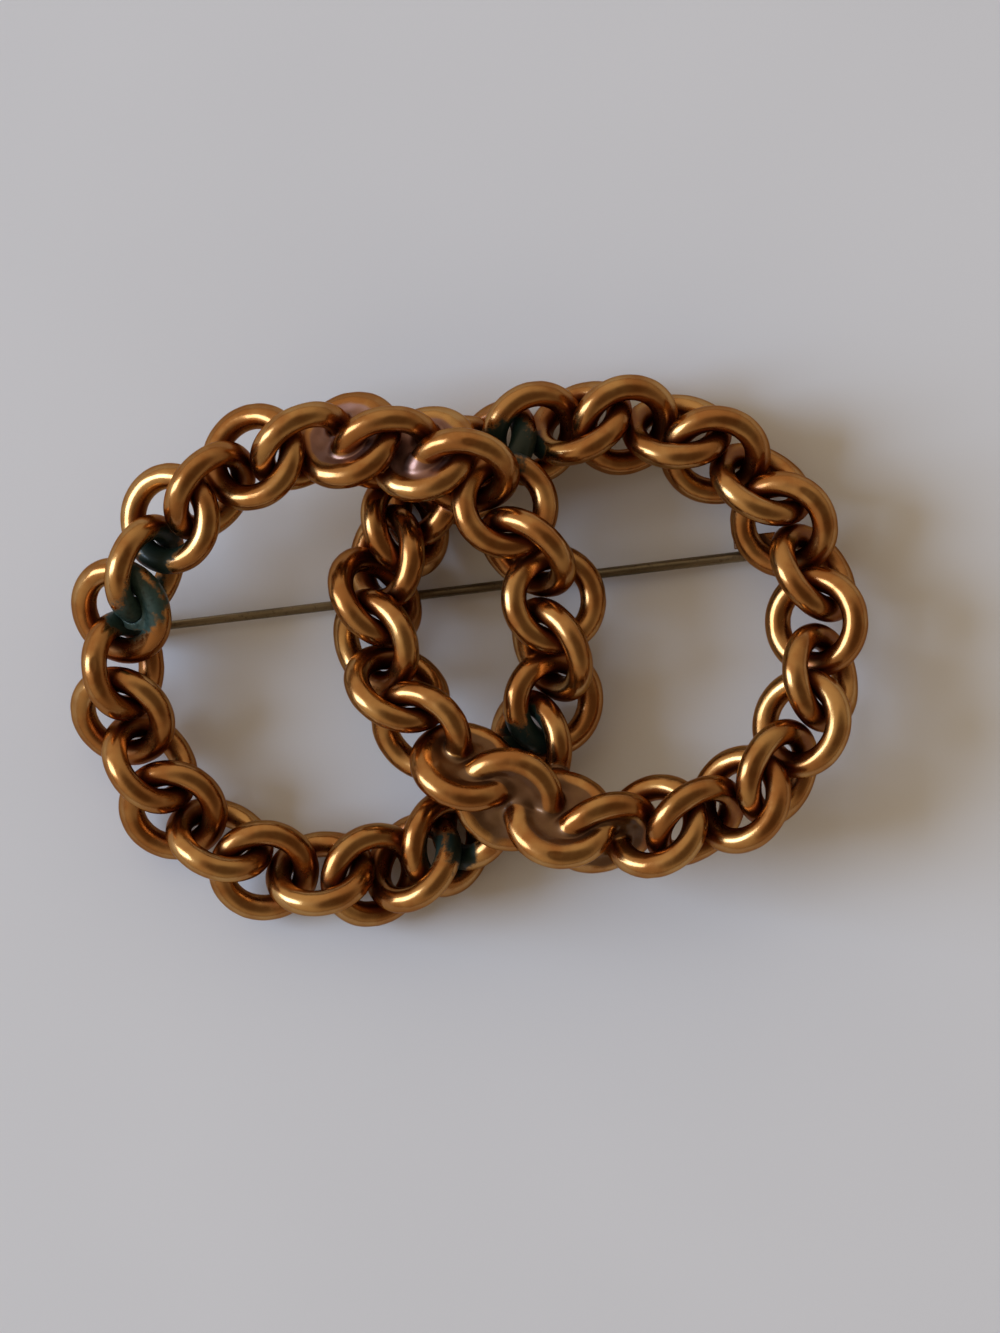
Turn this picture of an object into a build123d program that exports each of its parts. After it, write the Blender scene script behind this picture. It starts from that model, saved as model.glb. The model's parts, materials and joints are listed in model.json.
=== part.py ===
from build123d import *
import os
from math import cos, hypot, pi, radians, sin, sqrt

# Brooch of two chain rings that pass through each other, lying face up.
# X runs along the line of the ring centres, Y is up in the front view, Z points at the viewer.
# The origin is the bottom centre of the bounding box: the brooch stands on z = 0.
# All lengths are in millimetres and all angles in degrees.

# Chain wire
wire_diameter = 1.89
link_gap = 0.117

# Solder
fill_thickness = 1.1
bridge_diameter = 1.5
seat_depth = 0.16

# Pin stem
stem_root_diameter = 0.82
stem_end_diameter = 0.64
point_diameter = 0.16
point_length = 2.2

# Hinge
eye_diameter = 1.5
eye_width = 0.92
rivet_diameter = 0.62
rivet_clearance = 0.05
rivet_head_diameter = 1.0
rivet_head_height = 0.22
ear_thickness = 0.5
ear_gap = 0.08
ear_half_length = 1.0
tab_length = 3.2
tab_width = 0.95
fitting_height = 1.1
base_clearance = 0.15
corner_radius = 0.35

# Catch
catch_length = 1.5
catch_wall = 0.45
catch_clearance = 0.12

# The chain keeps its chosen layout, charted in units of the wire's pitch, which is the wire's
# diameter plus the gap between two links. A ring's own centre is the origin of its chart.
pitch = wire_diameter + link_gap
wire_radius = wire_diameter / 2
link_radius = 1.5944 * pitch
centre_offset = 4.9380 * pitch

# One row for each link, counter-clockwise in the front view:
# (angle round the ring, distance from the ring's centre, height, lean outwards, lean along)
left_chart = [
    (260.33, 8.0701, -1.2425, -45.29, -10.59),
    (245.61, 8.3668, -1.4053, 27.39, 10.58),
    (231.72, 8.0569, -1.2443, -49.25, -8.84),
    (217.24, 8.3161, -1.3260, 28.28, 15.54),
    (203.67, 7.9753, -0.9952, -45.76, -5.01),
    (189.43, 8.2461, -0.7784, 30.54, 25.17),
    (176.34, 7.9432, -0.1247, -49.67, 0.03),
    (161.91, 8.1740, 0.3566, 24.09, 26.98),
    (149.22, 7.8247, 0.8853, -56.52, -4.21),
    (134.24, 8.0200, 1.1195, 20.89, 19.33),
    (121.27, 7.7461, 1.3618, -54.59, -11.46),
    (106.53, 8.0590, 1.2732, 23.93, 16.09),
    (93.20, 7.9589, 1.4176, -52.65, -17.57),
    (80.63, 8.0954, 1.3740, 31.67, 22.29),
    (70.33, 8.0395, 1.5322, -48.63, -18.72),
    (60.32, 8.2653, 1.6159, 24.30, 30.21),
    (49.34, 8.4586, 2.0417, -46.94, -19.09),
    (36.21, 8.5185, 1.4550, 19.72, -2.68),
    (23.06, 8.1945, 1.0356, -57.42, -18.75),
    (9.32, 8.4538, 0.4304, 21.09, -1.70),
    (356.60, 8.1272, 0.0029, -55.92, -20.98),
    (343.06, 8.3199, -0.7221, 29.99, -2.49),
    (330.73, 8.0017, -1.1543, -44.69, -24.93),
    (317.72, 8.1910, -1.5294, 34.16, 9.00),
    (305.86, 7.8974, -1.5988, -43.37, -18.59),
    (295.48, 8.0336, -1.5116, 33.23, 28.07),
    (285.28, 8.1701, -1.2687, -41.41, -20.76),
    (274.29, 8.2190, -1.4914, 27.39, 15.22),
]
right_chart = [
    (76.90, 7.8575, -0.8222, -30.13, -18.45),
    (62.89, 8.1025, -1.0056, 50.18, 15.72),
    (50.88, 7.9878, -0.8731, -29.03, -17.31),
    (36.64, 8.2721, -1.0663, 52.36, 15.25),
    (24.50, 8.0627, -0.7582, -24.19, -9.10),
    (9.91, 8.3653, -0.7448, 55.23, 16.69),
    (357.01, 8.1828, -0.1546, -25.83, 0.28),
    (342.64, 8.4785, 0.1663, 51.82, 17.98),
    (330.09, 8.3392, 0.6336, -32.59, -5.62),
    (316.04, 8.5072, 0.7983, 51.48, 12.45),
    (304.61, 8.2239, 0.9785, -30.71, -12.91),
    (291.48, 7.9425, 0.8721, 54.80, 8.11),
    (280.68, 7.5800, 0.9905, -28.87, -12.73),
    (266.40, 7.5087, 0.8890, 53.19, 15.56),
    (253.09, 7.1713, 1.3936, -31.23, -2.24),
    (236.35, 7.1111, 1.2515, 26.47, 3.53),
    (219.78, 7.0910, 1.1084, -38.47, -19.03),
    (203.79, 7.5661, 0.6812, 41.81, 11.15),
    (190.14, 7.8030, 0.4076, -36.37, -32.30),
    (177.10, 8.3023, -0.1161, 46.90, 13.36),
    (165.39, 8.4514, -0.3462, -38.04, -31.88),
    (155.00, 8.3670, -0.8427, 53.25, 10.08),
    (144.88, 8.3013, -1.0758, -34.87, -30.56),
    (135.62, 8.2250, -1.4511, 53.78, 12.85),
    (124.23, 7.9794, -1.2820, -30.16, -14.23),
    (114.27, 7.8991, -1.2410, 49.48, 22.09),
    (102.30, 7.8561, -0.9224, -30.78, -13.35),
    (89.28, 7.8821, -0.9777, 48.97, 18.51),
]

# Where the straight pin passes: (along X, along Y) in pitches, at its pivot and in its catch.
pivot_place = (11.96, 2.41)
catch_place = (-12.22, 1.895)


def link_frame(centre_x, row):
    """Centre and axis of one link, in the chain's own heights."""
    turn, reach, height, lean, roll = row
    a, l, r = radians(turn), radians(lean), radians(roll)
    outward = Vector(cos(a), sin(a), 0)
    along = Vector(-sin(a), cos(a), 0)
    axis = outward * (sin(l) * cos(r)) + along * sin(r) + Vector(0, 0, cos(l) * cos(r))
    centre = Vector(centre_x, 0, height * pitch) + outward * (reach * pitch)
    return centre, axis


links = [link_frame(-centre_offset, row) for row in left_chart]
links += [link_frame(centre_offset, row) for row in right_chart]
left_count = len(left_chart)


def spread(direction):
    """Lowest and highest reach of all links along one direction."""
    low, high = [], []
    for centre, axis in links:
        half = link_radius * sqrt(1 - axis.dot(direction) ** 2) + wire_radius
        low.append(centre.dot(direction) - half)
        high.append(centre.dot(direction) + half)
    return min(low), max(high)


# Move the chain so that its box is centred over the origin and its lowest links touch z = 0.
x_low, x_high = spread(Vector(1, 0, 0))
y_low, y_high = spread(Vector(0, 1, 0))
z_low, z_high = spread(Vector(0, 0, 1))
shift = Vector(-(x_low + x_high) / 2, -(y_low + y_high) / 2, -z_low)
planes = [Plane(origin=centre + shift, z_dir=axis) for centre, axis in links]


def wire_points(index, count=360):
    """Points on the centreline of one link's wire."""
    place = planes[index]
    steps = [2 * pi * k / count for k in range(count)]
    return [
        place.origin + place.x_dir * (link_radius * cos(s)) + place.y_dir * (link_radius * sin(s))
        for s in steps
    ]


def underside(index, x, y):
    """Height of the lower surface of one link's wire over a point."""
    heights = []
    for p in wire_points(index):
        aside = hypot(p.X - x, p.Y - y)
        if aside < wire_radius:
            heights.append(p.Z - sqrt(wire_radius**2 - aside**2))
    return min(heights)


def bridge(first, second):
    """Place and length of the solder across the narrowest gap between two links."""
    pairs = [(p, q) for p in wire_points(first, 90) for q in wire_points(second, 90)]
    p, q = min(pairs, key=lambda pair: (pair[0] - pair[1]).length)
    return Plane(origin=(p + q) * 0.5, z_dir=q - p), (q - p).length


def link_over(x, y):
    """Number of the link whose wire passes most nearly over a point."""
    asides = [
        min(hypot(p.X - x, p.Y - y) for p in wire_points(index, 180)) for index in range(len(links))
    ]
    return asides.index(min(asides))


# The pin's own frame: its origin is the pivot, x runs along the stem to the point, z is up.
pivot = Vector(pivot_place[0] * pitch + shift.X, pivot_place[1] * pitch + shift.Y, fitting_height)
seat = Vector(catch_place[0] * pitch + shift.X, catch_place[1] * pitch + shift.Y, fitting_height)
toward_point = (seat - pivot).normalized()
pin_frame = Plane(origin=pivot, x_dir=toward_point, z_dir=(0, 0, 1))
catch_distance = (seat - pivot).length
taper_start = catch_distance + catch_length / 2
stem_reach = taper_start + point_length

# The hinge and the catch are soldered to the links that pass over them.
solder_spot = pivot + toward_point * ear_half_length
hinge_link = link_over(solder_spot.X, solder_spot.Y)
catch_link = link_over(seat.X, seat.Y)

# Solder joins these links into one solid at each crossing. Left links come first in the count.
top_links = [12, 13, 14, 15, 16, 51, 52]
top_fills = top_links[1:4:2]
top_bridges = [(top_links[2], top_links[6]), (top_links[4], top_links[5])]
bottom_links = [22, 24, 40, 41, 42, 43, 44, 45]
bottom_fills = bottom_links[3:7]
bottom_bridges = [(bottom_links[0], bottom_links[4]), (bottom_links[1], bottom_links[5])]
soldered = top_links + bottom_links + [catch_link, hinge_link]
left_loose = [k for k in range(left_count) if k not in soldered]
right_loose = [k for k in range(left_count, len(links)) if k not in soldered]

with BuildPart() as ring_left:
    with Locations(*[planes[k] for k in left_loose]):
        Torus(link_radius, wire_radius)

with BuildPart() as ring_right:
    with Locations(*[planes[k] for k in right_loose]):
        Torus(link_radius, wire_radius)

with BuildPart() as crossing_top:
    with Locations(*[planes[k] for k in top_links]):
        Torus(link_radius, wire_radius)
    with Locations(*[planes[k] for k in top_fills]):
        Cylinder(link_radius, fill_thickness)
    for pair in top_bridges:
        place, length = bridge(*pair)
        with Locations(place):
            Cylinder(bridge_diameter / 2, length)

with BuildPart() as crossing_bottom:
    with Locations(*[planes[k] for k in bottom_links]):
        Torus(link_radius, wire_radius)
    with Locations(*[planes[k] for k in bottom_fills]):
        Cylinder(link_radius, fill_thickness)
    for pair in bottom_bridges:
        place, length = bridge(*pair)
        with Locations(place):
            Cylinder(bridge_diameter / 2, length)

# The profile of the stem lies in the frame's x-z plane, and its axis is the frame's x.
side_view = Plane(origin=pivot, x_dir=toward_point, z_dir=pin_frame.y_dir * -1)
with BuildPart() as pin_stem:
    with BuildSketch(side_view):
        with BuildLine():
            Polyline(
                (0, 0),
                (0, stem_root_diameter / 2),
                (taper_start, stem_end_diameter / 2),
                (stem_reach, point_diameter / 2),
                (stem_reach, 0),
                close=True,
            )
        make_face()
    revolve(axis=Axis(pivot, toward_point))
    with BuildSketch(side_view):
        Circle(eye_diameter / 2)
    extrude(amount=eye_width / 2, both=True)
    with BuildSketch(side_view):
        Circle(rivet_diameter / 2 + rivet_clearance)
    extrude(amount=eye_width, both=True, mode=Mode.SUBTRACT)

# The hinge's base sits against the underside of its link, and solder holds it there. Its tab
# runs on beside the stem, on the upper side in the front view.
ear_inner = eye_width / 2 + ear_gap
ear_outer = ear_inner + ear_thickness
base_top = underside(hinge_link, solder_spot.X, solder_spot.Y) + seat_depth
base_bottom = fitting_height + eye_diameter / 2 + base_clearance
base_plane = Plane(origin=pivot, x_dir=toward_point, z_dir=side_view.y_dir)

with BuildPart() as hinge:
    with Locations(planes[hinge_link]):
        Torus(link_radius, wire_radius)
    for side in (-1, 1):
        with BuildSketch(side_view.offset(side * ear_inner)) as ear:
            with Locations((0, base_top / 2 - fitting_height)):
                Rectangle(2 * ear_half_length, base_top)
            fillet(ear.vertices().group_by(Axis.Z)[0], corner_radius)
        extrude(amount=side * ear_thickness)
        with BuildSketch(side_view.offset(side * ear_outer)):
            Circle(rivet_head_diameter / 2)
        extrude(amount=side * rivet_head_height)
    with BuildSketch(base_plane.offset(base_bottom - fitting_height)):
        Rectangle(2 * ear_half_length, 2 * ear_outer)
        with Locations((0, -ear_inner)):
            Rectangle(tab_length, tab_width, align=(Align.MIN, Align.MAX))
    extrude(amount=base_top - base_bottom)
    with BuildSketch(side_view):
        Circle(rivet_diameter / 2)
    extrude(amount=ear_outer, both=True)

# The catch is an open hook over the stem, soldered to the underside of its link.
stem_at_catch = stem_root_diameter + (stem_end_diameter - stem_root_diameter) * (
    catch_distance / taper_start
)
catch_inner = stem_at_catch / 2 + catch_clearance
catch_top = underside(catch_link, seat.X, seat.Y) + seat_depth

with BuildPart() as catch:
    with Locations(planes[catch_link]):
        Torus(link_radius, wire_radius)
    with BuildSketch(Plane(origin=seat, x_dir=pin_frame.y_dir, z_dir=toward_point)):
        with Locations((0, catch_top / 2 - fitting_height)):
            Rectangle(2 * (catch_inner + catch_wall), catch_top)
        Circle(catch_inner, mode=Mode.SUBTRACT)
        with Locations((0, -fitting_height / 2)):
            Rectangle(2 * catch_inner, fitting_height, mode=Mode.SUBTRACT)
    extrude(amount=catch_length / 2, both=True)

os.makedirs("parts", exist_ok=True)
for name, piece in (
    ("ring_left", ring_left),
    ("ring_right", ring_right),
    ("crossing_top", crossing_top),
    ("crossing_bottom", crossing_bottom),
    ("hinge", hinge),
    ("pin_stem", pin_stem),
    ("catch", catch),
):
    piece.part.label = name
    export_step(piece.part, f"parts/{name}.step")
print("pivot", pivot, "seat", seat, "toward the point", toward_point, hinge_link, catch_link)
print("size", x_high - x_low, y_high - y_low, z_high - z_low)
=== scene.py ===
"""Looks of the circle brooch, made anew around its solids: links, fittings and stem."""

import json
from math import cos, pi, radians, sin

import bpy
import numpy as np
from mathutils import Matrix, Vector


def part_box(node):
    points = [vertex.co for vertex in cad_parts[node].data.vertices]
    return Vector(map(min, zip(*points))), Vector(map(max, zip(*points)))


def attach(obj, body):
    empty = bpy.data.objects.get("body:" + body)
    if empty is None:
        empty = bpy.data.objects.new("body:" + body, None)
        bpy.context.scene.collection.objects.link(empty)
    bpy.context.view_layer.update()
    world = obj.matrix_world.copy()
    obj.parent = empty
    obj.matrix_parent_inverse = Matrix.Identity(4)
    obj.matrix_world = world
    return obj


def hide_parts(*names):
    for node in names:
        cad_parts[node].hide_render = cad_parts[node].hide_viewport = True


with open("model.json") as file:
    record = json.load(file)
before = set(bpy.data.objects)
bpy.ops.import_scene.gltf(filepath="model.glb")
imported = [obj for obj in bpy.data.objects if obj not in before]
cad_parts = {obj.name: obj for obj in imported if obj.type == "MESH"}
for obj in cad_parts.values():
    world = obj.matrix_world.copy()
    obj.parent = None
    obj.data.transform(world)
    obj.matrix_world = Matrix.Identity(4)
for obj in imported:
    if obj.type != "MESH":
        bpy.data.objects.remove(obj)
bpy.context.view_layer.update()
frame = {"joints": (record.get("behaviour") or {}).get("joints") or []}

# Shapes are worked out in millimetres, in the part's own frame, and made in metres.
MM = 0.001
WIRE_DIAMETER = 1.89
GAP = 0.117
PITCH = WIRE_DIAMETER + GAP
WIRE = WIRE_DIAMETER / 2
LINK = 1.5944 * PITCH
OFFSET = 4.9380 * PITCH
# The real wires touch, so the looks take up most of the gap that the solids keep.
THICKER = 0.045
# Farther than anything that matters, in millimetres
FAR = 9.0

# The same chart as the source's, link by link: angle around its ring in degrees, reach
# and height in pitches, then its axis's lean outwards and along the ring in degrees.
LEFT = [
    (260.33, 8.0701, -1.2425, -45.29, -10.59),
    (245.61, 8.3668, -1.4053, 27.39, 10.58),
    (231.72, 8.0569, -1.2443, -49.25, -8.84),
    (217.24, 8.3161, -1.3260, 28.28, 15.54),
    (203.67, 7.9753, -0.9952, -45.76, -5.01),
    (189.43, 8.2461, -0.7784, 30.54, 25.17),
    (176.34, 7.9432, -0.1247, -49.67, 0.03),
    (161.91, 8.1740, 0.3566, 24.09, 26.98),
    (149.22, 7.8247, 0.8853, -56.52, -4.21),
    (134.24, 8.0200, 1.1195, 20.89, 19.33),
    (121.27, 7.7461, 1.3618, -54.59, -11.46),
    (106.53, 8.0590, 1.2732, 23.93, 16.09),
    (93.20, 7.9589, 1.4176, -52.65, -17.57),
    (80.63, 8.0954, 1.3740, 31.67, 22.29),
    (70.33, 8.0395, 1.5322, -48.63, -18.72),
    (60.32, 8.2653, 1.6159, 24.30, 30.21),
    (49.34, 8.4586, 2.0417, -46.94, -19.09),
    (36.21, 8.5185, 1.4550, 19.72, -2.68),
    (23.06, 8.1945, 1.0356, -57.42, -18.75),
    (9.32, 8.4538, 0.4304, 21.09, -1.70),
    (356.60, 8.1272, 0.0029, -55.92, -20.98),
    (343.06, 8.3199, -0.7221, 29.99, -2.49),
    (330.73, 8.0017, -1.1543, -44.69, -24.93),
    (317.72, 8.1910, -1.5294, 34.16, 9.00),
    (305.86, 7.8974, -1.5988, -43.37, -18.59),
    (295.48, 8.0336, -1.5116, 33.23, 28.07),
    (285.28, 8.1701, -1.2687, -41.41, -20.76),
    (274.29, 8.2190, -1.4914, 27.39, 15.22),
]
RIGHT = [
    (76.90, 7.8575, -0.8222, -30.13, -18.45),
    (62.89, 8.1025, -1.0056, 50.18, 15.72),
    (50.88, 7.9878, -0.8731, -29.03, -17.31),
    (36.64, 8.2721, -1.0663, 52.36, 15.25),
    (24.50, 8.0627, -0.7582, -24.19, -9.10),
    (9.91, 8.3653, -0.7448, 55.23, 16.69),
    (357.01, 8.1828, -0.1546, -25.83, 0.28),
    (342.64, 8.4785, 0.1663, 51.82, 17.98),
    (330.09, 8.3392, 0.6336, -32.59, -5.62),
    (316.04, 8.5072, 0.7983, 51.48, 12.45),
    (304.61, 8.2239, 0.9785, -30.71, -12.91),
    (291.48, 7.9425, 0.8721, 54.80, 8.11),
    (280.68, 7.5800, 0.9905, -28.87, -12.73),
    (266.40, 7.5087, 0.8890, 53.19, 15.56),
    (253.09, 7.1713, 1.3936, -31.23, -2.24),
    (236.35, 7.1111, 1.2515, 26.47, 3.53),
    (219.78, 7.0910, 1.1084, -38.47, -19.03),
    (203.79, 7.5661, 0.6812, 41.81, 11.15),
    (190.14, 7.8030, 0.4076, -36.37, -32.30),
    (177.10, 8.3023, -0.1161, 46.90, 13.36),
    (165.39, 8.4514, -0.3462, -38.04, -31.88),
    (155.00, 8.3670, -0.8427, 53.25, 10.08),
    (144.88, 8.3013, -1.0758, -34.87, -30.56),
    (135.62, 8.2250, -1.4511, 53.78, 12.85),
    (124.23, 7.9794, -1.2820, -30.16, -14.23),
    (114.27, 7.8991, -1.2410, 49.48, 22.09),
    (102.30, 7.8561, -0.9224, -30.78, -13.35),
    (89.28, 7.8821, -0.9777, 48.97, 18.51),
]

# Links by number, the left ring's first: each crossing's own, those whose holes solder
# fills, the pairs that a bridge joins, and its pools of solder (two ends and a radius).
TOP_LINKS = [12, 13, 14, 15, 16, 51, 52]
TOP_FILLS = [13, 15]
TOP_BRIDGES = [(14, 52), (16, 51)]
TOP_POOLS = [((-2.2, 13.7, 10.9), (-0.8, 12.5, 11.1), 1.0)]
BOTTOM_LINKS = [22, 24, 40, 41, 42, 43, 44, 45]
BOTTOM_FILLS = [41, 42, 43, 44]
BOTTOM_BRIDGES = [(22, 42), (24, 43)]
BOTTOM_POOLS = []
CATCH_LINK = 6
STAINED_LINK = 7
HINGE_LINK = 32

FILL_THICKNESS = 1.40
FILL_EASE = 0.2
BRIDGE_RADIUS = 0.72
BRIDGE_EASE = 0.4
SOLDER_EASE = 0.55
CRUST_THICKNESS = 1.3
CRUST_MIDDLE = (-24.2, 5.6)
CRUST_RADIUS = 1.85
CRUST_EASE = 0.2
# Height of the low waves on solder and crust, and their pace along x, y and z
LUMP = 0.05
SOLDER_WAVES = (2.3, 2.9, 2.6)
CRUST_WAVES = (4.1, 3.7, 3.9)

# Stains of the photograph, and painted highlights as small pale spots on the green crust: middle
# (x, y, z), radius, strength, paleness.
STAINS_AND_HIGHLIGHTS = [
    ((-22.0, 9.4, 9.0), 1.8, 1.50, 0.0),
    ((-24.0, 5.8, 8.5), 2.4, 2.30, 0.10),
    # The next two are painted highlights on the green crust of the stained link.
    ((-24.5, 6.4, 9.4), 0.75, 1.60, 1.0),
    ((-23.4, 5.3, 8.8), 0.70, 1.60, 0.8),
    ((4.8, 14.6, 6.8), 2.1, 2.60, 0.0),
    ((3.8, -6.5, 5.0), 1.9, 1.90, 0.0),
    ((-2.5, -15.2, 5.0), 2.0, 1.55, 0.0),
    # A painted highlight on the bottom stain.
    ((-1.9, -14.3, 6.5), 0.6, 1.70, 0.4),
]
# Distances up and down count less, so that stains reach further there than sideways.
STAIN_Z_SCALE = 0.7
# A stain's share on open wire, and what being shut in adds to it
STAIN_OPEN = 0.40
STAIN_SHUT = 0.9
# How far out each look for close wires goes, and its share in the shading
SHADE_LOOKS = ((0.35, 0.30), (0.8, 0.30), (1.5, 0.25), (2.6, 0.15))
SHADE_MARGIN = 1.0
# Links with a centre farther from a point than this aren't its nearest.
NEAR_CENTRE = 6.0
# Solder shows from this far over the plain wire, fully after the rise, and fades out
# before the farthest that a piece lets it reach.
SOLDER_START = 0.015
SOLDER_RISE = 0.10
SOLDER_FADE = 0.4

# Colours in linear light
GOLD_LIGHT = (0.53, 0.290, 0.100)
GOLD_DEEP = (0.36, 0.140, 0.036)
GOLD_EDGE = (0.62, 0.40, 0.26)
# Brown of patina in the hollows, which also stands as painted shade between the links
PATINA_AND_SHADE = (0.18, 0.052, 0.015)
PINK_SOLDER = (0.28, 0.150, 0.120)
BROWN_SOLDER = (0.125, 0.066, 0.036)
# Near-black green: the stains' own colour, darkened further as painted shade in the link holes
VERDIGRIS_DARK_AND_SHADE = (0.011, 0.028, 0.023)
# Pale green, used mostly for painted highlights on the stains
VERDIGRIS_PALE_AND_HIGHLIGHT = (0.20, 0.36, 0.30)
STEM_LIGHT = (0.25, 0.195, 0.118)
STEM_DARK = (0.12, 0.095, 0.058)
STEM_DIRT = (0.045, 0.036, 0.025)
PAPER_A = (0.79, 0.79, 0.80)
PAPER_B = (0.81, 0.81, 0.82)
WINDOW_COLOUR = (0.53, 0.715, 1.0)
ROOM_DARK = (0.12, 0.078, 0.046)
ROOM_WALLS = (0.725, 0.605, 0.45)

# The pin, in its own frame: the pivot at the origin, x along the stem, z up
PIVOT_HEIGHT = 1.1
SEAT_X = 48.5402
STEM_RADIUS = 0.41
END_RADIUS = 0.32
TAPER_END = SEAT_X + 0.75
POINT_LENGTH = 2.2
POINT_RADIUS = 0.08
TIP = TAPER_END + POINT_LENGTH
EYE_RADIUS = 0.75
EYE_HALF = 0.46
EYE_FILLET = 0.25
HOLE_RADIUS = 0.36
RIVET_RADIUS = 0.31
HEAD_RADIUS = 0.5
HEAD_HEIGHT = 0.22
EAR_INNER = EYE_HALF + 0.08
EAR_OUTER = EAR_INNER + 0.5
EAR_CORNER = 0.4
BASE_BOTTOM = EYE_RADIUS + 0.15
TAB_WIDTH = 0.95
TAB_END = 3.2
HINGE_FILLET = 0.5
# The hinge and the catch reach this far into the wire that carries them.
BITE = 0.16
CATCH_HALF_LENGTH = 0.75
CATCH_PLAY = 0.12
CATCH_WALL = 0.45
CATCH_FILLET = 0.45
# Solder tints a fitting only this close to its link.
FITTING_SOLDER_REACH = 0.8

CROSSING_STEP = 0.12
STAINED_STEP = 0.09
FITTING_STEP = 0.075
STEM_STEP = 0.07
RELAX_PASSES = 4

# The camera: focal length and sensor in millimetres, and the frame's length in metres
FOCAL = 300.0
SENSOR = 36.0
FRAME_LENGTH = 0.100
CAMERA_TURN = radians(5.646)
CAMERA_TIP = radians(1.613)
CAMERA_AIM = (2.34, -1.54, 6.47)
CAMERA_REACH = 10.0
FLOOR_HALF = 2.0

SQUARE = ((0, 0), (1, 0), (1, 1), (0, 1))


def link_frames():
    """Centres and axes of all links, in millimetres."""
    centres, axes = [], []
    up = np.array([0.0, 0.0, 1.0])
    for x, rows in ((-OFFSET, LEFT), (OFFSET, RIGHT)):
        for turn, reach, height, lean, roll in rows:
            turn, lean, roll = radians(turn), radians(lean), radians(roll)
            outward = np.array([cos(turn), sin(turn), 0.0])
            along = np.array([-sin(turn), cos(turn), 0.0])
            level = outward * sin(lean) * cos(roll) + along * sin(roll)
            axes.append(level + up * cos(lean) * cos(roll))
            centres.append(np.array([x, 0, height * PITCH]) + outward * reach * PITCH)
    centres, axes = np.array(centres), np.array(axes)
    half = LINK * np.sqrt(1 - axes**2) + WIRE
    low, high = (centres - half).min(0), (centres + half).max(0)
    shift = -(low + high) / 2
    shift[2] = -low[2]
    return centres + shift, axes


CENTRES, AXES = link_frames()


def basis(axis):
    """Two directions across an axis."""
    helper = np.array([0.0, 0.0, 1.0]) if abs(axis[2]) < 0.9 else np.array([1.0, 0.0, 0.0])
    u = np.cross(axis, helper)
    u /= np.linalg.norm(u)
    return u, np.cross(axis, u)


# Distances: each function takes points and gives how far each is outside a form, and
# less than zero inside it.


def wobble(p):
    """Small hand-worn unevenness of the wire, from 0 to 0.03 mm inwards."""
    x, y, z = p[:, 0], p[:, 1], p[:, 2]
    w = np.sin(1.9 * x + 0.7 * z + 0.4) * np.sin(1.6 * y - 0.9 * z + 1.1)
    w += 0.6 * np.sin(3.7 * x - 2.9 * y + 2.0) * np.sin(3.1 * z + 0.3 * x)
    return 0.016 + 0.010 * np.clip(w, -1.6, 1.6)


def lumps(p, pace):
    """Low waves on solder and crust."""
    x, y, z = (p * pace).T
    return LUMP * (np.sin(x + 0.5) * np.sin(y + 1.7) * np.sin(z))


def around_link(p, i):
    """Height over a link's plane and distance from its axis."""
    q = p - CENTRES[i]
    h = q @ AXES[i]
    return h, np.sqrt(np.maximum((q * q).sum(1) - h * h, 0))


def torus(p, i):
    """Distance to the surface of one link's plain wire."""
    h, out = around_link(p, i)
    return np.hypot(out - LINK, h) - WIRE - THICKER


def worn(p, i):
    """Distance to the surface of one link's uneven wire."""
    return torus(p, i) + wobble(p)


def nearest(p, indices):
    """Distance to the nearest of several links."""
    best = torus(p, indices[0])
    for i in indices[1:]:
        best = np.minimum(best, torus(p, i))
    return best


def melt(a, b, k):
    """Union of two distances with a fillet."""
    h = np.maximum(k - np.abs(a - b), 0) / k
    return np.minimum(a, b) - h * h * k * 0.25


def carve(a, b, k):
    """Part a without part b, with an eased edge."""
    h = np.maximum(k - np.abs(a + b), 0) / k
    return np.maximum(a, -b) + h * h * k * 0.25


def both(a, b):
    """Distance to what two forms at right angles share."""
    return np.minimum(np.maximum(a, b), 0) + np.hypot(np.maximum(a, 0), np.maximum(b, 0))


def disc(p, i, thickness):
    """Distance to a disc that fills one link's hole."""
    h, out = around_link(p, i)
    return both(out - LINK, np.abs(h) - thickness / 2)


def bar(p, radius, low, high, ease):
    """Distance to a short round bar along the pivot's axis, in the pin's frame."""
    a = np.hypot(p[:, 0], p[:, 2]) - radius + ease
    b = np.abs(p[:, 1] - (low + high) / 2) - (high - low) / 2 + ease
    return both(a, b) - ease


def capsule(p, a, b, radius):
    """Distance to a round-ended rod."""
    ab = b - a
    t = np.clip(((p - a) @ ab) / (ab @ ab), 0, 1)
    return np.linalg.norm(p - a - t[:, None] * ab, axis=1) - radius


def block(p, low, high, ease):
    """Distance to a box with eased edges, in the coordinates of p."""
    low, high = np.array(low, float), np.array(high, float)
    q = np.abs(p - (low + high) / 2) - (high - low) / 2 + ease
    return np.linalg.norm(np.maximum(q, 0), axis=1) + np.minimum(q.max(1), 0) - ease


def ring_points(i, count=360):
    """Points along the middle of one link's wire."""
    u, v = basis(AXES[i])
    t = np.linspace(0, 2 * pi, count, endpoint=False)[:, None]
    return CENTRES[i] + LINK * (np.cos(t) * u + np.sin(t) * v)


def closest_pair(i, j):
    """The two nearest points of two links' middles."""
    a, b = ring_points(i, 90), ring_points(j, 90)
    d = np.linalg.norm(a[:, None] - b[None], axis=2)
    s, t = np.unravel_index(d.argmin(), d.shape)
    return a[s], b[t]


def underside(i, x, y):
    """Height of the lower surface of one link's wire over a point."""
    p = ring_points(i)
    aside = np.hypot(p[:, 0] - x, p[:, 1] - y)
    near = aside < WIRE
    return (p[near, 2] - np.sqrt(WIRE**2 - aside[near] ** 2)).min()


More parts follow.
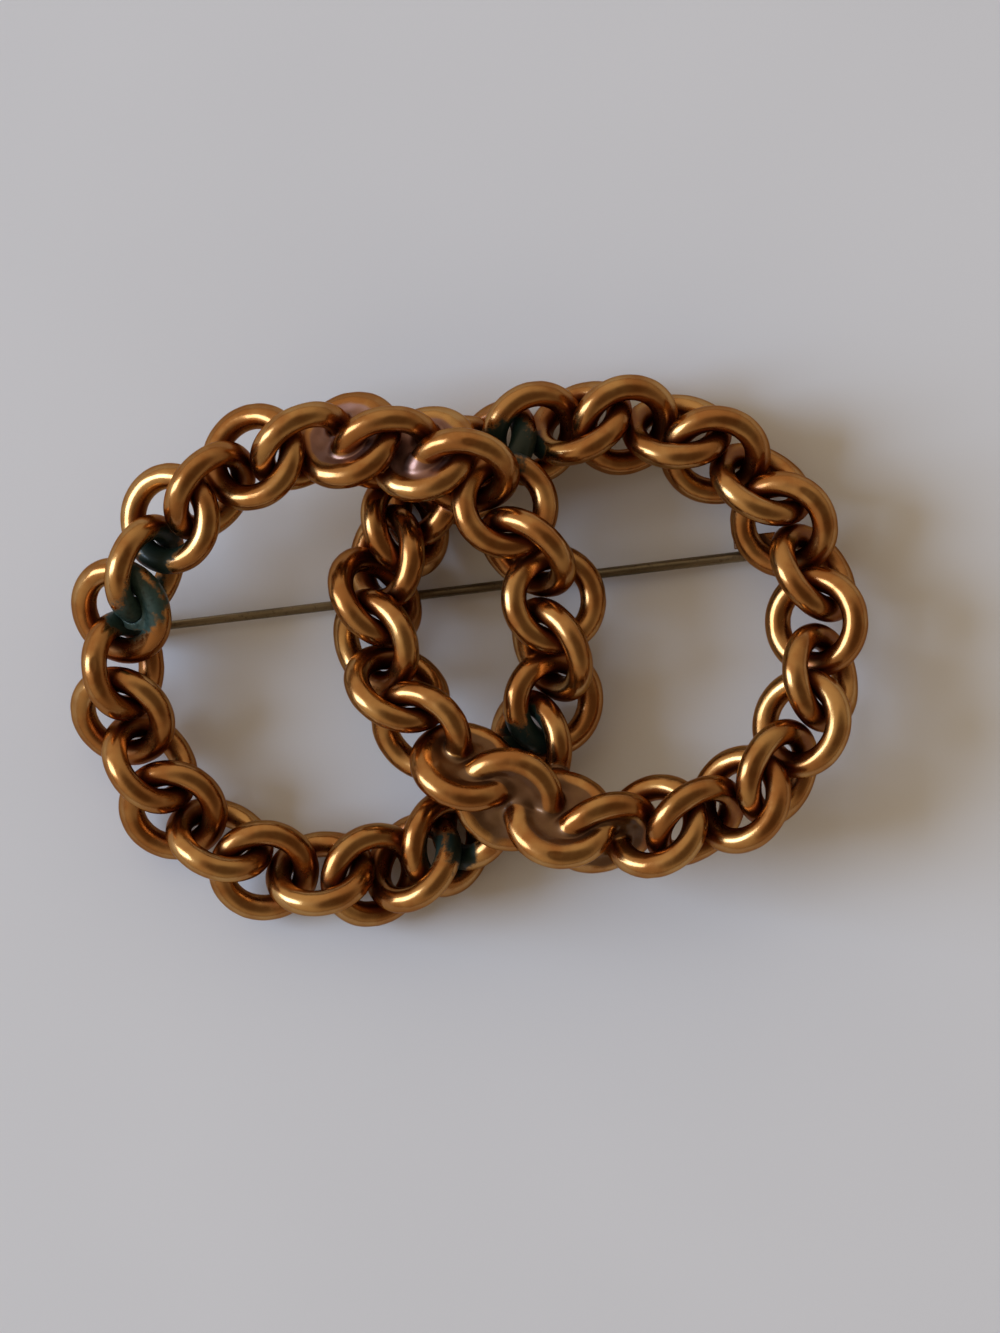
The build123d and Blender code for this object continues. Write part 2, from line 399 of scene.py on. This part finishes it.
def soldered(p, links, fills, rods):
    """Distance to a crossing with its solder."""
    solder = np.full(len(p), FAR)
    for i in fills:
        solder = melt(solder, disc(p, i, FILL_THICKNESS), FILL_EASE)
    for a, b, radius in rods:
        solder = melt(solder, capsule(p, a, b, radius), BRIDGE_EASE)
    return melt(nearest(p, links) + wobble(p), solder + lumps(p, SOLDER_WAVES), SOLDER_EASE)


def stained_field(p):
    """Distance to the left ring's link with a green crust in its hole."""
    crust = disc(p, STAINED_LINK, CRUST_THICKNESS)
    x, y = CRUST_MIDDLE
    crust = np.maximum(crust, np.hypot(p[:, 0] - x, p[:, 1] - y) - CRUST_RADIUS)
    crust = carve(crust, nearest(p, [STAINED_LINK - 1, STAINED_LINK + 1]) - 0.05, 0.1)
    return melt(worn(p, STAINED_LINK), crust + lumps(p, CRUST_WAVES), CRUST_EASE)


# The pin's frame in the part's
joint = frame["joints"][0]
pivot = np.array(joint["pos_m"]) / MM
across = np.array(joint["axis"])
across /= np.linalg.norm(across)
toward = np.cross(across, [0.0, 0.0, 1.0])
PIN = np.column_stack([toward, across, [0.0, 0.0, 1.0]])
seat = pivot + toward * SEAT_X
# The hinge's link is measured 1 mm along the stem from the pivot.
under_link = pivot + toward
base_top = underside(HINGE_LINK, under_link[0], under_link[1]) + BITE - PIVOT_HEIGHT
catch_top = underside(CATCH_LINK, seat[0], seat[1]) + BITE - PIVOT_HEIGHT


def pin_places(p):
    """The points in the pin's frame."""
    return (p - pivot) @ PIN


def stem_field(p):
    """Distance to the stem with its eye and point."""
    q = pin_places(p)
    x = np.clip(q[:, 0], 0, TIP)
    radius = np.where(
        x < TAPER_END,
        STEM_RADIUS + (END_RADIUS - STEM_RADIUS) * x / TAPER_END,
        END_RADIUS + (POINT_RADIUS - END_RADIUS) * (x - TAPER_END) / POINT_LENGTH,
    )
    side = np.hypot(q[:, 1], q[:, 2])
    last = TIP - POINT_RADIUS
    point = np.hypot(q[:, 0] - last, side) - POINT_RADIUS
    rod = np.where(q[:, 0] > last, point, side - radius)
    rod = np.where(q[:, 0] < 0, np.hypot(q[:, 0], side) - STEM_RADIUS, rod)
    whole = melt(rod, bar(q, EYE_RADIUS, -EYE_HALF, EYE_HALF, 0.06), EYE_FILLET)
    return np.maximum(whole, HOLE_RADIUS - np.hypot(q[:, 0], q[:, 2]))


def hinge_field(p):
    """Distance to the hinge: base, tab, two ears and rivet, with the link above."""
    q = pin_places(p)
    base = block(q, (-1, -EAR_OUTER, BASE_BOTTOM), (1, EAR_OUTER, base_top), 0.06)
    tab_low = (0, -EAR_INNER - TAB_WIDTH, BASE_BOTTOM)
    d = melt(base, block(q, tab_low, (TAB_END, -EAR_INNER, base_top), 0.06), 0.1)
    foot = -PIVOT_HEIGHT + EAR_CORNER
    for side in (-1, 1):
        low, high = sorted((side * EAR_INNER, side * EAR_OUTER))
        ear = block(q, (-1, low, -PIVOT_HEIGHT), (1, high, base_top), 0.07)
        beside = np.maximum(np.abs(q[:, 0]) - (1 - EAR_CORNER), 0)
        corner = np.hypot(beside, np.maximum(foot - q[:, 2], 0)) - EAR_CORNER
        d = np.minimum(d, np.maximum(ear, np.where(q[:, 2] < foot, corner, -FAR)))
        low, high = sorted((side * (EAR_OUTER - 0.05), side * (EAR_OUTER + HEAD_HEIGHT)))
        d = melt(d, bar(q, HEAD_RADIUS, low, high, 0.1), 0.05)
    d = np.minimum(d, bar(q, RIVET_RADIUS, -EAR_OUTER, EAR_OUTER, 0.02))
    return melt(worn(p, HINGE_LINK), d, HINGE_FILLET)


def catch_field(p):
    """Distance to the catch, a block with an open slot, with the link above."""
    q = pin_places(p) - np.array([SEAT_X, 0, 0])
    seat_radius = STEM_RADIUS + (END_RADIUS - STEM_RADIUS) * SEAT_X / TAPER_END
    inner = seat_radius + CATCH_PLAY
    outer = inner + CATCH_WALL
    half = CATCH_HALF_LENGTH
    d = block(q, (-half, -outer, -PIVOT_HEIGHT), (half, outer, catch_top), 0.09)
    slot = np.hypot(q[:, 1], q[:, 2]) - inner
    slot = np.where(q[:, 2] < 0, np.abs(q[:, 1]) - inner, slot)
    return melt(worn(p, CATCH_LINK), carve(d, slot, 0.08), CATCH_FILLET)


def slope(field, p, e=0.004):
    """Gradient of a distance."""
    parts = []
    for k in range(3):
        d = np.zeros(3)
        d[k] = e
        parts.append((field(p + d) - field(p - d)) / (2 * e))
    return np.column_stack(parts)


def unit_normals(field, points):
    """Directions straight out of a surface."""
    g = slope(field, points)
    return g / np.maximum(np.linalg.norm(g, axis=1)[:, None], 1e-9)


def settle(field, p, longest=0.08):
    """Points moved onto the surface, by no more than the longest move."""
    g = slope(field, p)
    size = np.maximum((g * g).sum(1), 0.05)
    move = field(p)[:, None] * g / size[:, None]
    length = np.linalg.norm(move, axis=1)[:, None]
    return p - move * np.minimum(1, longest / np.maximum(length, 1e-9))


def fill_diagonals(inside):
    """Fills each grid square whose corners alternate, so that every edge has two faces."""
    while True:
        found = False
        for m, n in ((0, 1), (1, 2), (0, 2)):
            corners = []
            for first, second in SQUARE:
                part = [slice(None)] * 3
                part[m] = slice(first, inside.shape[m] - 1 + first)
                part[n] = slice(second, inside.shape[n] - 1 + second)
                corners.append(inside[tuple(part)])
            a, b, c, d = corners
            odd = (a == c) & (b == d) & (a != b)
            if odd.any():
                found = True
                for corner in corners:
                    corner[odd] = True
        if not found:
            return inside


def biggest_part(points, faces):
    """The mesh without crumbs and closed-in bubbles."""
    pairs = np.stack([faces, np.roll(faces, -1, axis=1)], -1)
    key = pairs.min(-1) * len(points) + pairs.max(-1)
    edge = np.unique(key, return_inverse=True)[1].reshape(faces.shape)
    label = np.arange(edge.max() + 1)
    while True:
        lowest = label.copy()
        np.minimum.at(lowest, edge.ravel(), np.repeat(label[edge].min(1), 4))
        lowest = lowest[lowest]
        if (lowest == label).all():
            break
        label = lowest
    part = label[edge[:, 0]]
    faces = faces[part == np.bincount(part).argmax()]
    used = np.unique(faces)
    number = np.zeros(len(points), int)
    number[used] = np.arange(len(used))
    return points[used], number[faces]


def grid_faces(inside):
    """Middles of the grid cells that a surface passes, and four-sided faces between them."""
    counts = np.array(inside.shape)
    total = sum(
        inside[a : counts[0] - 1 + a, b : counts[1] - 1 + b, c : counts[2] - 1 + c].astype(int)
        for a in (0, 1)
        for b in (0, 1)
        for c in (0, 1)
    )
    active = (total > 0) & (total < 8)
    number = np.full(active.shape, -1)
    number[active] = np.arange(active.sum())
    faces = []
    for k in range(3):
        ahead = [slice(None)] * 3
        behind = [slice(None)] * 3
        ahead[k], behind[k] = slice(1, None), slice(None, -1)
        where = np.argwhere(inside[tuple(behind)] != inside[tuple(ahead)])
        m, n = (k + 1) % 3, (k + 2) % 3
        keep = (where[:, m] > 0) & (where[:, n] > 0)
        keep &= (where[:, m] < counts[m] - 1) & (where[:, n] < counts[n] - 1)
        where = where[keep]
        corners = []
        for da, db in SQUARE:
            cell = where.copy()
            cell[:, m] -= da
            cell[:, n] -= db
            corners.append(number[tuple(cell.T)])
        quads = np.column_stack(corners)
        turned = inside[tuple(where.T)]
        quads[~turned] = quads[~turned][:, ::-1]
        faces.append(quads)
    return np.argwhere(active) + 0.5, np.vstack(faces)


def relaxed(points, faces):
    """Points drawn towards their neighbours' middle, so that faces come out even."""
    middle = np.zeros_like(points)
    weight = np.zeros(len(points))
    for a, b in ((0, 1), (1, 2), (2, 3), (3, 0)):
        np.add.at(middle, faces[:, a], points[faces[:, b]])
        np.add.at(middle, faces[:, b], points[faces[:, a]])
        np.add.at(weight, faces[:, a], 1)
        np.add.at(weight, faces[:, b], 1)
    return 0.4 * points + 0.6 * middle / weight[:, None]


def skin(field, low, high, step):
    """Closed mesh of the surface where a distance is zero: corners and four-sided faces."""
    low, high = np.array(low, float), np.array(high, float)
    counts = np.ceil((high - low) / step).astype(int) + 1
    axes = [low[k] + step * np.arange(counts[k]) for k in range(3)]
    distances = np.empty(counts)
    for s in range(counts[0]):
        y, z = np.meshgrid(axes[1], axes[2], indexing="ij")
        p = np.column_stack([np.full(y.size, axes[0][s]), y.ravel(), z.ravel()])
        distances[s] = field(p).reshape(counts[1:])
    cells, faces = grid_faces(fill_diagonals(distances < 0))
    points, faces = biggest_part(low + step * cells, faces)
    for _ in range(RELAX_PASSES):
        points = settle(field, relaxed(points, faces))
    return settle(field, points), faces


def plain_links(indices, along=112, around=28):
    """Corners, faces, normals and link numbers of loose links."""
    points, normals, owner, faces = [], [], [], []
    t = np.linspace(0, 2 * pi, along, endpoint=False)
    s = np.linspace(0, 2 * pi, around, endpoint=False)
    tt, ss = np.meshgrid(t, s, indexing="ij")
    tt, ss = tt.ravel()[:, None], ss.ravel()[:, None]
    a = np.arange(along)[:, None]
    b = np.arange(around)[None, :]
    a2, b2 = (a + 1) % along, (b + 1) % around
    corners = [a * around + b, a2 * around + b, a2 * around + b2, a * around + b2]
    patch = np.stack(corners, -1).reshape(-1, 4)
    for n, i in enumerate(indices):
        u, v = basis(AXES[i])
        out = np.cos(tt) * u + np.sin(tt) * v
        normal = np.cos(ss) * out + np.sin(ss) * AXES[i]
        p = CENTRES[i] + LINK * out + (WIRE + THICKER) * normal
        points.append(p - normal * wobble(p)[:, None])
        normals.append(normal)
        owner.append(np.full(len(p), i))
        faces.append(patch + n * along * around)
    return np.vstack(points), np.vstack(faces), np.vstack(normals), np.concatenate(owner)


def nearest_link(points):
    """The number of the link nearest to each point."""
    best = np.full(len(points), FAR)
    owner = np.zeros(len(points), int)
    for i in range(len(CENTRES)):
        close = np.linalg.norm(points - CENTRES[i], axis=1) < NEAR_CENTRE
        if close.any():
            d = np.full(len(points), FAR)
            d[close] = torus(points[close], i)
            owner[d < best] = i
            best = np.minimum(best, d)
    return owner


def shade(points, normals):
    """How far each point is shut in between the links, from 0 to 1."""
    shut = np.zeros(len(points))
    for reach, weight in SHADE_LOOKS:
        q = points + normals * reach
        near = np.full(len(points), FAR)
        farthest = LINK + WIRE + reach + SHADE_MARGIN
        for i in range(len(CENTRES)):
            close = np.linalg.norm(points - CENTRES[i], axis=1) < farthest
            if close.any():
                near[close] = np.minimum(near[close], torus(q[close], i))
        shut += weight * np.clip(1 - near / reach, 0, 1)
    return shut


def surface_values(points, normals, owner, plain_distance=None, solder_reach=FAR):
    """The numbers that the materials read at each corner."""
    # A different tone for each link, from 0 to 1
    tone = np.sin(owner * 12.9898 + 0.7) * 43758.5453
    tone = tone - np.floor(tone)
    green = np.zeros(len(points))
    pale = np.zeros(len(points))
    shut = shade(points, normals)
    for middle, radius, strength, lightness in STAINS_AND_HIGHLIGHTS:
        away = (points - np.array(middle)) * (1, 1, STAIN_Z_SCALE)
        spot = strength * np.exp(-(away**2).sum(1) / radius**2)
        spot = spot * np.clip(STAIN_OPEN + STAIN_SHUT * shut, 0, 1)
        pale = np.where(spot > green, lightness, pale)
        green = np.maximum(green, spot)
    solder = np.zeros(len(points))
    if plain_distance is not None:
        solder = np.clip((plain_distance - SOLDER_START) / SOLDER_RISE, 0, 1)
        solder *= np.clip((solder_reach - plain_distance) / SOLDER_FADE, 0, 1)
    return {"tone": tone, "shut": shut, "solder": solder, "green": green, "pale": pale}


def piece(name, points, faces, values, body, node, material):
    """A mesh object in metres with its own values at the corners."""
    low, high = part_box(node)
    points = np.clip(points, np.array(low) / MM, np.array(high) / MM)
    mesh = bpy.data.meshes.new(name)
    mesh.vertices.add(len(points))
    mesh.vertices.foreach_set("co", (points * MM).astype(np.float32).ravel())
    mesh.loops.add(faces.size)
    mesh.loops.foreach_set("vertex_index", faces.astype(np.int32).ravel())
    mesh.polygons.add(len(faces))
    mesh.polygons.foreach_set("loop_start", np.arange(0, faces.size, 4, dtype=np.int32))
    mesh.update(calc_edges=True)
    mesh.polygons.foreach_set("use_smooth", np.ones(len(faces), bool))
    for key, numbers in values.items():
        layer = mesh.attributes.new(key, "FLOAT", "POINT")
        layer.data.foreach_set("value", numbers.astype(np.float32))
    mesh.validate()
    thing = bpy.data.objects.new(name, mesh)
    bpy.context.scene.collection.objects.link(thing)
    thing.data.materials.append(material)
    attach(thing, body)
    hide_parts(node)


def chain(name, indices, node):
    """One ring's loose links."""
    points, faces, normals, owner = plain_links(indices)
    values = surface_values(points, normals, owner)
    piece(name, points, faces, values, "brooch", node, gold_material)


def skin_piece(name, node, material, field, step,
               plain=None, solder_reach=FAR, space=None, body="brooch"):
    """A piece with one smooth surface, in a space that is its node's box or the one given."""
    low, high = space or room(node)
    points, faces = skin(field, low, high, step)
    normals = unit_normals(field, points)
    plain_distance = plain(points) if plain else None
    owner = nearest_link(points)
    values = surface_values(points, normals, owner, plain_distance, solder_reach)
    piece(name, points, faces, values, body, node, material)


def room(node, extra=0.25):
    """A node's box in millimetres, a little larger."""
    low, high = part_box(node)
    return np.array(low) / MM - extra, np.array(high) / MM + extra


class Nodes:
    """Short calls for the nodes of a material or of the world."""

    def __init__(self, tree):
        self.tree = tree

    def node(self, kind):
        return self.tree.nodes.new("ShaderNode" + kind)

    def join(self, source, socket):
        """Sets a number or a colour, or links an output."""
        if isinstance(source, (int, float)):
            socket.default_value = source
        elif isinstance(source, tuple):
            socket.default_value = (*source, 1.0)
        else:
            self.tree.links.new(source, socket)

    def math(self, kind, a, b, clamp=False):
        node = self.node("Math")
        node.operation = kind
        node.use_clamp = clamp
        self.join(a, node.inputs[0])
        self.join(b, node.inputs[1])
        return node.outputs[0]

    def span(self, source, low, high, start=0.0, end=1.0):
        """A smooth step from start to end while the source goes from low to high."""
        node = self.node("MapRange")
        node.interpolation_type = "SMOOTHSTEP"
        self.join(source, node.inputs["Value"])
        node.inputs["From Min"].default_value = low
        node.inputs["From Max"].default_value = high
        node.inputs["To Min"].default_value = start
        node.inputs["To Max"].default_value = end
        return node.outputs["Result"]

    def mix(self, amount, a, b):
        node = self.node("Mix")
        node.data_type = "RGBA"
        self.join(amount, node.inputs["Factor"])
        self.join(a, node.inputs["A"])
        self.join(b, node.inputs["B"])
        return node.outputs["Result"]

    def facing(self, direction, x, y, z):
        """How far a direction points towards x, y, z."""
        node = self.node("VectorMath")
        node.operation = "DOT_PRODUCT"
        node.inputs[1].default_value = Vector((x, y, z)).normalized()
        self.join(direction, node.inputs[0])
        return node.outputs["Value"]


class Material(Nodes):
    """A new material with one principled surface."""

    def __init__(self, name):
        self.material = bpy.data.materials.new(name)
        self.material.use_nodes = True
        super().__init__(self.material.node_tree)
        self.tree.nodes.clear()
        self.surface = self.node("BsdfPrincipled")
        output = self.node("OutputMaterial")
        self.join(self.surface.outputs["BSDF"], output.inputs["Surface"])
        self.place = self.node("TexCoord").outputs["Object"]

    def put(self, key, source):
        self.join(source, self.surface.inputs[key])

    def value(self, name):
        node = self.node("Attribute")
        node.attribute_name = name
        return node.outputs["Fac"]

    def noise(self, scale, detail=3.0, rough=0.55, stretch=None):
        node = self.node("TexNoise")
        node.inputs["Scale"].default_value = scale
        node.inputs["Detail"].default_value = detail
        node.inputs["Roughness"].default_value = rough
        place = self.place
        if stretch:
            mapping = self.node("Mapping")
            mapping.inputs["Scale"].default_value = stretch
            self.join(place, mapping.inputs["Vector"])
            place = mapping.outputs["Vector"]
        self.join(place, node.inputs["Vector"])
        return node.outputs["Fac"]

    def ragged(self, source, noise, amount):
        """The source made uneven by a noise."""
        off = self.math("MULTIPLY", self.math("SUBTRACT", noise, 0.5), amount)
        return self.math("ADD", source, off)

    def bump(self, height, strength, distance, below=None):
        node = self.node("Bump")
        node.inputs["Strength"].default_value = strength
        node.inputs["Distance"].default_value = distance
        self.join(height, node.inputs["Height"])
        if below is not None:
            self.join(below, node.inputs["Normal"])
        return node.outputs["Normal"]


def gold(name, solder_colour):
    """Worn rolled gold with patina and painted shade between the links, duller solder, green
    stains with painted shade in the holes, and small painted highlights on the stains.
    """
    n = Material(name)
    patches = n.noise(320.0, 3.0)
    grain = n.noise(2600.0, 4.0)
    fine = n.noise(11000.0, 2.0)
    link_tone = n.math("MULTIPLY", n.value("tone"), 0.55)
    warm = n.math("ADD", n.span(patches, 0.35, 0.68), link_tone, True)
    colour = n.mix(n.math("MULTIPLY", warm, 0.9), GOLD_LIGHT, GOLD_DEEP)
    # Painted shade: the colour darkens towards patina brown where links shut each other in,
    # partly real patina and partly painted shade
    patina_and_shade = n.span(n.ragged(n.value("shut"), patches, 0.20), 0.10, 0.75, 0.0, 0.85)
    colour = n.mix(patina_and_shade, colour, PATINA_AND_SHADE)
    grey = n.span(n.ragged(n.value("solder"), patches, 0.4), 0.25, 0.7)
    colour = n.mix(n.math("MULTIPLY", grey, 0.85), colour, solder_colour)
    edge = n.noise(1300.0, 5.0, 0.65)
    # The stains' very dark green is partly painted shade in the shut link holes
    stain = n.span(n.ragged(n.value("green"), edge, 1.0), 0.32, 0.60)
    # Painted highlight: the pale spots brighten the green crust where it catches light
    pale = n.math("MULTIPLY", n.value("pale"), n.span(grain, 0.2, 0.6), True)
    colour = n.mix(stain, colour, n.mix(pale, VERDIGRIS_DARK_AND_SHADE, VERDIGRIS_PALE_AND_HIGHLIGHT))
    n.put("Base Color", colour)
    rough = n.span(grain, 0.3, 0.75, 0.20, 0.27)
    rough = n.math("ADD", rough, n.math("MULTIPLY", patina_and_shade, 0.12))
    rough = n.math("ADD", rough, n.math("MULTIPLY", grey, 0.18))
    rough = n.math("ADD", rough, n.math("MULTIPLY", stain, 0.25), True)
    n.put("Roughness", rough)
    n.put("Metallic", n.math("SUBTRACT", 1.0, n.math("MULTIPLY", stain, 0.75), True))
    n.put("Specular Tint", GOLD_EDGE)
    n.put("Coat Weight", 0.20)
    n.put("Coat Roughness", 0.12)
    relief = n.bump(n.noise(700.0, 1.5), 0.30, 0.00004)
    relief = n.bump(grain, 0.06, 0.00001, relief)
    n.put("Normal", n.bump(fine, 0.08, 0.000003, relief))
    return n.material


def dull_metal(name):
    """The tarnished olive-brown metal of the stem."""
    n = Material(name)
    streaks = n.noise(900.0, 3.0, 0.6, (0.12, 1.0, 1.0))
    grain = n.noise(3800.0, 4.0)
    colour = n.mix(n.span(streaks, 0.35, 0.65), STEM_LIGHT, STEM_DARK)
    n.put("Base Color", n.mix(n.span(grain, 0.55, 0.8, 0.0, 0.7), colour, STEM_DIRT))
    n.put("Metallic", 0.92)
    n.put("Roughness", n.span(grain, 0.3, 0.7, 0.30, 0.48))
    n.put("Normal", n.bump(grain, 0.4, 0.00002, n.bump(streaks, 0.3, 0.00002)))
    return n.material


def pale_paper(name):
    """The floor's plain paper."""
    n = Material(name)
    n.put("Base Color", n.mix(n.span(n.noise(25.0, 2.0), 0.3, 0.7), PAPER_A, PAPER_B))
    n.put("Roughness", 0.75)
    return n.material


gold_material = gold("worn_gold", BROWN_SOLDER)
pink_material = gold("worn_gold_pink_solder", PINK_SOLDER)
stem_material = dull_metal("dull_stem")

own_skin = TOP_LINKS + BOTTOM_LINKS + [CATCH_LINK, STAINED_LINK, HINGE_LINK]
chain("left_ring_links", [k for k in range(28) if k not in own_skin], "ring_left")
chain("right_ring_links", [k for k in range(28, 56) if k not in own_skin], "ring_right")

stained_reach = LINK + WIRE + 0.3
stained_space = (CENTRES[STAINED_LINK] - stained_reach, CENTRES[STAINED_LINK] + stained_reach)
skin_piece(
    "stained_link", "ring_left", gold_material,
    stained_field, STAINED_STEP, space=stained_space,
)

for node, links, fills, bridges, pools, material in (
    ("crossing_top", TOP_LINKS, TOP_FILLS, TOP_BRIDGES, TOP_POOLS, pink_material),
    ("crossing_bottom", BOTTOM_LINKS, BOTTOM_FILLS, BOTTOM_BRIDGES, BOTTOM_POOLS, gold_material),
):
    rods = [(*closest_pair(i, j), BRIDGE_RADIUS) for i, j in bridges]
    rods += [(np.array(a), np.array(b), radius) for a, b, radius in pools]
    skin_piece(
        node + "_links", node, material,
        lambda p: soldered(p, links, fills, rods), CROSSING_STEP,
        plain=lambda p: nearest(p, links) + wobble(p),
    )

for name, node, link, field in (
    ("hinge_fitting", "hinge", HINGE_LINK, hinge_field),
    ("catch_fitting", "catch", CATCH_LINK, catch_field),
):
    skin_piece(
        name, node, gold_material, field, FITTING_STEP,
        plain=lambda p: worn(p, link), solder_reach=FITTING_SOLDER_REACH,
    )

skin_piece(
    "stem", "pin_stem", stem_material, stem_field, STEM_STEP, body="pin"
)

scene = bpy.context.scene

# Floor
floor_mesh = bpy.data.meshes.new("floor")
corners = [(x * FLOOR_HALF, y * FLOOR_HALF, 0) for x, y in ((-1, -1), (1, -1), (1, 1), (-1, 1))]
floor_mesh.from_pydata(corners, [], [(0, 1, 2, 3)])
floor = bpy.data.objects.new("floor", floor_mesh)
scene.collection.objects.link(floor)
floor.data.materials.append(pale_paper("paper"))

# Camera: nearly straight over the brooch, with the photograph's small turn
camera_data = bpy.data.cameras.new("camera")
camera_data.sensor_fit = "AUTO"
camera_data.sensor_width = SENSOR
camera_data.lens = FOCAL
camera_data.clip_end = CAMERA_REACH
camera = bpy.data.objects.new("camera", camera_data)
scene.collection.objects.link(camera)
back = Vector((0.0, -sin(CAMERA_TIP), cos(CAMERA_TIP)))
right = Vector((cos(CAMERA_TURN), -sin(CAMERA_TURN), 0.0))
right = (right - back * right.dot(back)).normalized()
place = Vector(CAMERA_AIM) * MM + back * (FRAME_LENGTH * FOCAL / SENSOR)
axes = Matrix((right, back.cross(right), back)).transposed()
camera.matrix_world = Matrix.Translation(place) @ axes.to_4x4()
scene.camera = camera

# A broad window, low on the left
window_data = bpy.data.lights.new("window", "AREA")
window_data.shape = "RECTANGLE"
window_data.size, window_data.size_y = 1.37, 2.02
window_data.energy = 86.0
window_data.color = WINDOW_COLOUR
window_data.spread = pi
window = bpy.data.objects.new("window", window_data)
window.location = (-2.79, 0.306, 1.512)
view = Vector((0.0, 0.0, 0.005)) - window.location
window.rotation_euler = view.to_track_quat("-Z", "Y").to_euler()
scene.collection.objects.link(window)

# A dim warm room: pale walls from the horizon up, darker overhead and to the right
world = bpy.data.worlds.new("world")
scene.world = world
world.use_nodes = True
sky = Nodes(world.node_tree)
direction = sky.node("TexCoord").outputs["Generated"]
horizon = sky.span(sky.facing(direction, 0, 0, 1), -0.30, 0.38)
overhead = sky.span(sky.facing(direction, 0.34, -0.28, 0.90), 0.62, 0.94, 1.0, 0.06)
left_side = sky.span(sky.facing(direction, -0.8, 0.6, 0.0), -0.9, 0.9, 0.42, 1.0)
walls = sky.math("MULTIPLY", sky.math("MULTIPLY", horizon, overhead), left_side)
background = world.node_tree.nodes["Background"]
sky.join(sky.mix(walls, ROOM_DARK, ROOM_WALLS), background.inputs["Color"])
background.inputs["Strength"].default_value = 1.0
scene.view_settings.view_transform = "Standard"
